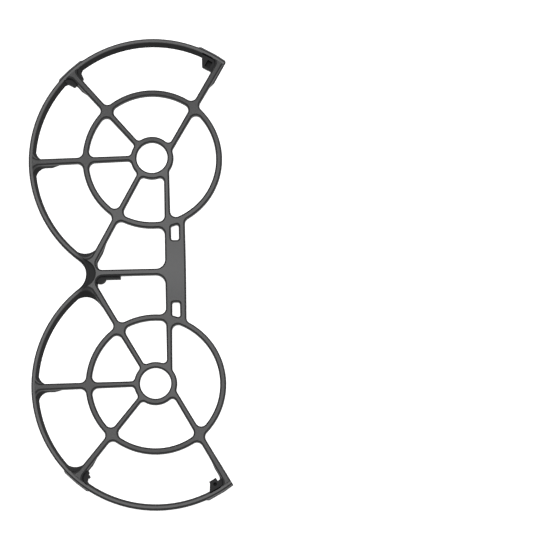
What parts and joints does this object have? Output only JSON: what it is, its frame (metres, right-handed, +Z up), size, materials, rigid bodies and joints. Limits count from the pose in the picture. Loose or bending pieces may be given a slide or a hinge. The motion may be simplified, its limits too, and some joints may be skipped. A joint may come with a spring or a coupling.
{
  "type": "drone propeller guard",
  "caption": "Twin-lobe propeller guard for one side of a small quadcopter: a rim around the outer arcs, carried on a shallow dome of ribs with a hub ring over each motor.",
  "frame": {"origin": "centre of the overall box in plan, on the plane of the rim's foot that the guard lies on", "axes": "+Y from the rear motor axis to the front one, +X towards the aircraft's body, +Z up through the crown of the ribs"},
  "size_m": [0.111, 0.2644, 0.0178],
  "materials": {
    "moulding": "dark grey moulded nylon with a fine satin texture"
  },
  "bodies": {
    "root": {"guard_frame": "moulding"}
  },
  "joints": []
}
